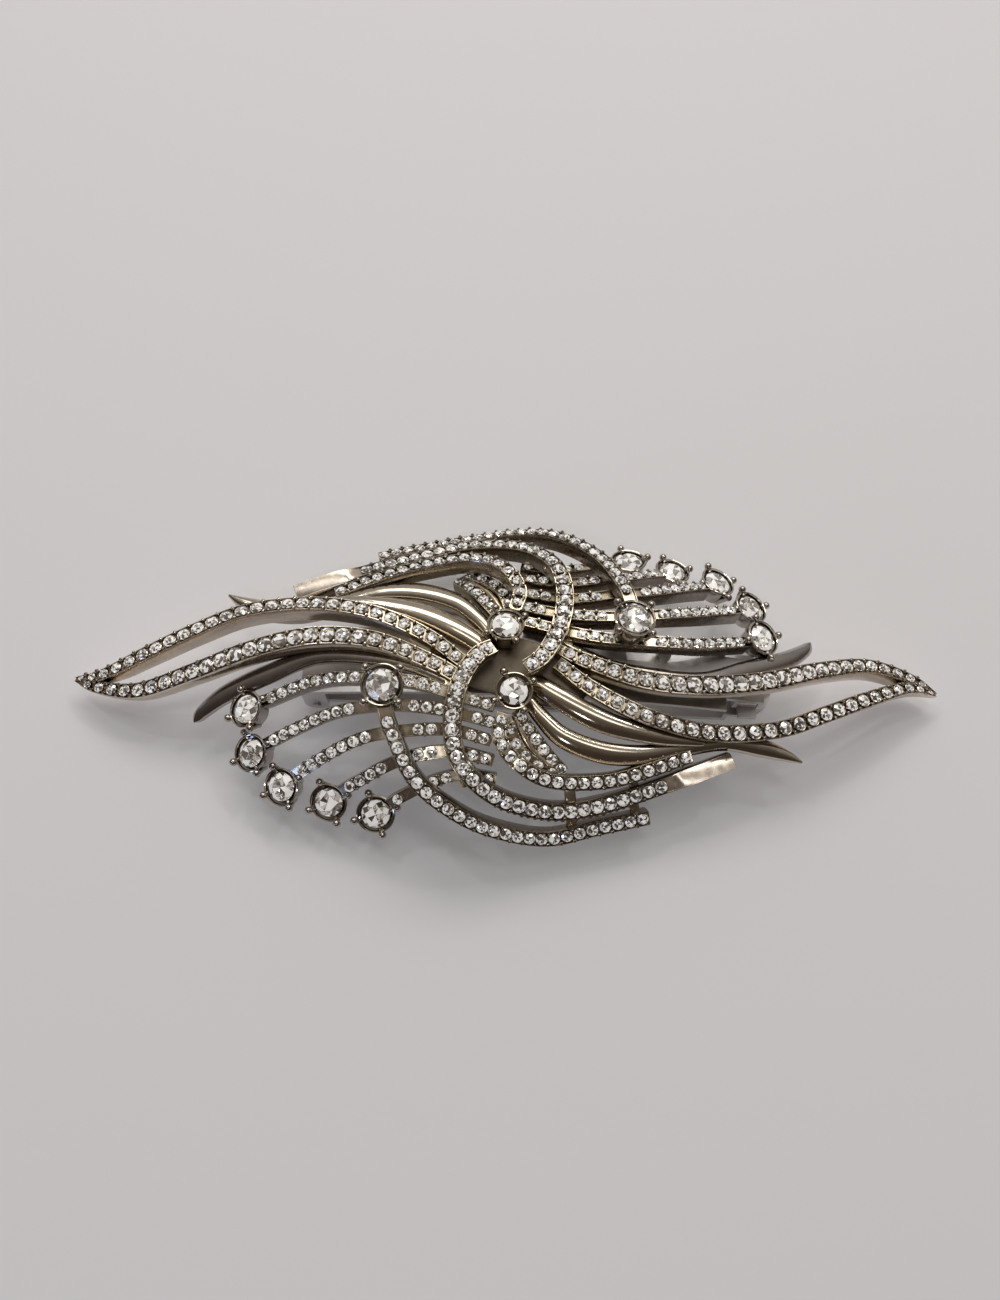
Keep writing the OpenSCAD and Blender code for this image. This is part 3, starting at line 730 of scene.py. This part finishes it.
cups, gems = Shape(), Shape()
for p in END_PLACES:
    add_setting(cups, p, end_normal(p), END_R, height=2.4, turn=20)
    add_stone(gems, p, end_normal(p), END_R * 0.98, wobble=0.02)
both(cups, "end_settings", LR, "cups", [DARK, BRIGHT])
both(gems, "end_stones", LR, "cut", STONE, sharp=5)
for stem, place, r, height, turn, sides in (
    ("raised", RAISED_PLACE, RAISED_R, 3.4, 45, LR), ("centre", CENTRE_PLACE, CENTRE_R, 3.0, 30, FB)
):
    cups, gems = Shape(), Shape()
    add_setting(cups, place, crown_normal(place), r, height, turn)
    add_stone(gems, place, crown_normal(place), r * 0.98, wobble=0.02)
    both(cups, f"{stem}_setting", sides, "cup", [DARK, BRIGHT])
    both(gems, f"{stem}_stone", sides, "cut", STONE, sharp=5)

# crescents
for stem, points, start, stop, plain_end in (
    ("outer_crescent", OUTER_CRESCENT, 2.6, 0.9, 0), ("middle_crescent", MIDDLE_CRESCENT, 1, 10, 9.2),
    ("inner_crescent", INNER_CRESCENT, 1, 0.9, 0),
):
    shape = Shape()
    places = row_places(points, PAVE_PITCH, start, stop)
    sweep(shape, course(points, 8), stone_rail(CRESCENT_DEPTH, 0.14, plain_end), wall=2)
    add_grains(shape, places, w_share=0.74, r=0.28)
    if stem == "middle_crescent":
        add_beading(shape, points, start=24, stop=42)
    both(shape, stem, FB, "cast", METAL)
    both_rows(places, PAVE_FILL, f"{stem}_stones", FB)
ties = Shape()
for tie in CRESCENT_TIES:
    sweep(ties, course(tie, 4), plain_rail(1.4, shoulder=0.1))
both(ties, "crescent_ties", FB, "cast", METAL)

# petals
petal, petal_places = Shape(), []
for side in PETAL_RAILS:
    sweep(petal, course(side, 6), stone_rail(PETAL_DEPTH, rim=0.1), wall=2)
    places = row_places(side, PAVE_PITCH, start=1, stop=0.6)
    add_grains(petal, places, w_share=0.8, r=0.2)
    petal_places += places
sweep(petal, course(PETAL_RIB, 6), plain_rail(PETAL_DEPTH, shoulder=0.3, crown_lift=0.1))
both(petal, "petal", FB, "cast", METAL)
both_rows(petal_places, FAN_FILL, "petal_stones", FB)

# hub
hub = Shape()
sweep(hub, course(HUB, 8), plain_rail(1.4, shoulder=0.15))
finish_piece(hub.build("hub_plate_cast", [SHADED]), "hub_plate")

# the clasp keeps its CAD shapes, apart from the tension bow below
for name in (
    "base_plate", "swing_arm", "catch_lever_front", "catch_lever_rear",
    "hinge_pin", "catch_pins", "clasp_pegs",
):
    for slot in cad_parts[name].material_slots:
        slot.link = "OBJECT"
        slot.material = STAMPED


def bow_half(tip):
    """Half of the tension bow, left for tip -1, right for 1: a strip that curves up from its middle to its
    tip.
    """
    low, high = (np.array(c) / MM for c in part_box("tension_bow"))
    thick, steps = 0.4, 24
    kept = 0.985  # leaves off the knife-thin tip
    middle, reach = (low[0] + high[0]) / 2, tip * kept * (high[0] - low[0]) / 2
    corners, faces = [], []
    for k in range(steps + 1):
        under = low[2] + (high[2] - low[2]) * (kept * k / steps) ** 2
        over = min(under + thick, high[2])
        x = middle + reach * k / steps
        corners += [(x, low[1], under), (x, high[1], under), (x, high[1], over), (x, low[1], over)]
    for i in range(steps):
        for k in range(4):
            j = (k + 1) % 4
            face = (4 * i + k, 4 * i + j, 4 * i + 4 + j, 4 * i + 4 + k)
            faces.append(face[::tip])
    for cap in ((3, 2, 1, 0), tuple(4 * steps + k for k in range(4))):
        faces.append(cap[::tip])
    shape = Shape()
    shape.add(corners, faces)
    made = shape.build("tension_bow_left" if tip < 0 else "tension_bow_right", [SPRING])
    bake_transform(made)
    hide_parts("tension_bow")


for tip in (-1, 1):
    bow_half(tip)


# ---------------------------------------------------------------- floor, light and camera

def pale_floor():
    """A plain pale floor, in metres, a hair below the clasp so that the two don't touch."""
    half, z = 3.0, -0.00002
    mesh = bpy.data.meshes.new("floor")
    corners = [(-half, -half, z), (half, -half, z), (half, half, z), (-half, half, z)]
    mesh.from_pydata(corners, [], [(0, 1, 2, 3)])
    m, _, _, shader = new_material("pale_floor")
    shader.inputs["Base Color"].default_value = (0.8, 0.79, 0.82, 1)
    shader.inputs["Roughness"].default_value = 0.7
    shader.inputs["Specular IOR Level"].default_value = 0.1
    shader.inputs["Emission Color"].default_value = (1, 1, 1, 1)
    shader.inputs["Emission Strength"].default_value = 0.13
    mesh.materials.append(m)
    mesh.update()
    made = bpy.data.objects.new("floor", mesh)
    bpy.context.scene.collection.objects.link(made)


def softbox(name, place, width, height, power, colour=(1, 1, 1)):
    """A soft light aimed at the clip, in metres and watts."""
    lamp = bpy.data.lights.new(name, "AREA")
    lamp.shape = "RECTANGLE"
    lamp.size, lamp.size_y = width, height
    lamp.energy = power
    lamp.color = colour
    made = bpy.data.objects.new(name, lamp)
    made.location = place
    made.rotation_euler = (Vector() - Vector(place)).to_track_quat("-Z", "Y").to_euler()
    bpy.context.scene.collection.objects.link(made)


def room():
    """A room that is pale behind and above the clip and dark brown in front, as polished metal mirrors it."""
    world = bpy.data.worlds.new("room")
    world.use_nodes = True
    nodes, links = world.node_tree.nodes, world.node_tree.links
    place = nodes.new("ShaderNodeTexCoord")
    lean = nodes.new("ShaderNodeVectorMath")
    lean.operation = "DOT_PRODUCT"
    lean.inputs[1].default_value = (0, 0.8, 0.6)
    links.new(place.outputs["Generated"], lean.inputs[0])
    ramp = nodes.new("ShaderNodeValToRGB")
    ramp.color_ramp.elements[0].position = 0.0
    ramp.color_ramp.elements[0].color = (0.06, 0.046, 0.037, 1)
    ramp.color_ramp.elements[1].position = 0.95
    ramp.color_ramp.elements[1].color = (0.44, 0.42, 0.40, 1)
    mid = ramp.color_ramp.elements.new(0.45)
    mid.color = (0.15, 0.127, 0.106, 1)
    links.new(lean.outputs["Value"], ramp.inputs["Fac"])
    links.new(ramp.outputs["Color"], nodes["Background"].inputs["Color"])
    nodes["Background"].inputs["Strength"].default_value = 1.0
    bpy.context.scene.world = world


def camera():
    """The photograph's view, a little rolled, from close by."""
    tilt, roll = math.radians(68.5), math.radians(2.726)
    right = np.array((1, 0, 0))
    up = np.array((0, math.sin(tilt), math.cos(tilt)))
    ahead = np.array((0, math.cos(tilt), -math.sin(tilt)))
    x = math.cos(roll) * right + math.sin(roll) * up
    y = -math.sin(roll) * right + math.cos(roll) * up
    m = np.eye(4)
    m[:3, 0], m[:3, 1], m[:3, 2] = x, y, -ahead
    m[:3, 3] = np.array((-1.274, -49.43, 141.75)) * MM
    data = bpy.data.cameras.new("camera")
    data.lens, data.sensor_width, data.sensor_fit = 30.32, 36.0, "AUTO"
    data.clip_start, data.clip_end = 0.005, 20
    made = bpy.data.objects.new("camera", data)
    made.matrix_world = Matrix(m.tolist())
    bpy.context.scene.collection.objects.link(made)
    bpy.context.scene.camera = made


pale_floor()
room()
softbox("key", (0, 0.40, 0.44), 0.44, 0.2, 0.97, (1, 0.955, 0.88))
softbox("ceiling", (0.05, 0.1, 0.62), 0.4, 0.1, 0.28)
softbox("left", (-0.24, 0.25, 0.48), 0.03, 0.03, 0.14)
softbox("right", (0.24, 0.28, 0.46), 0.03, 0.03, 0.14)
softbox("front", (-0.05, -0.3, 0.5), 0.04, 0.03, 0.1)
softbox("cool", (-0.35, -0.3, 0.12), 0.1, 0.06, 0.12, (0.4, 0.55, 1))
camera()
bpy.context.scene.view_settings.view_transform = "Standard"
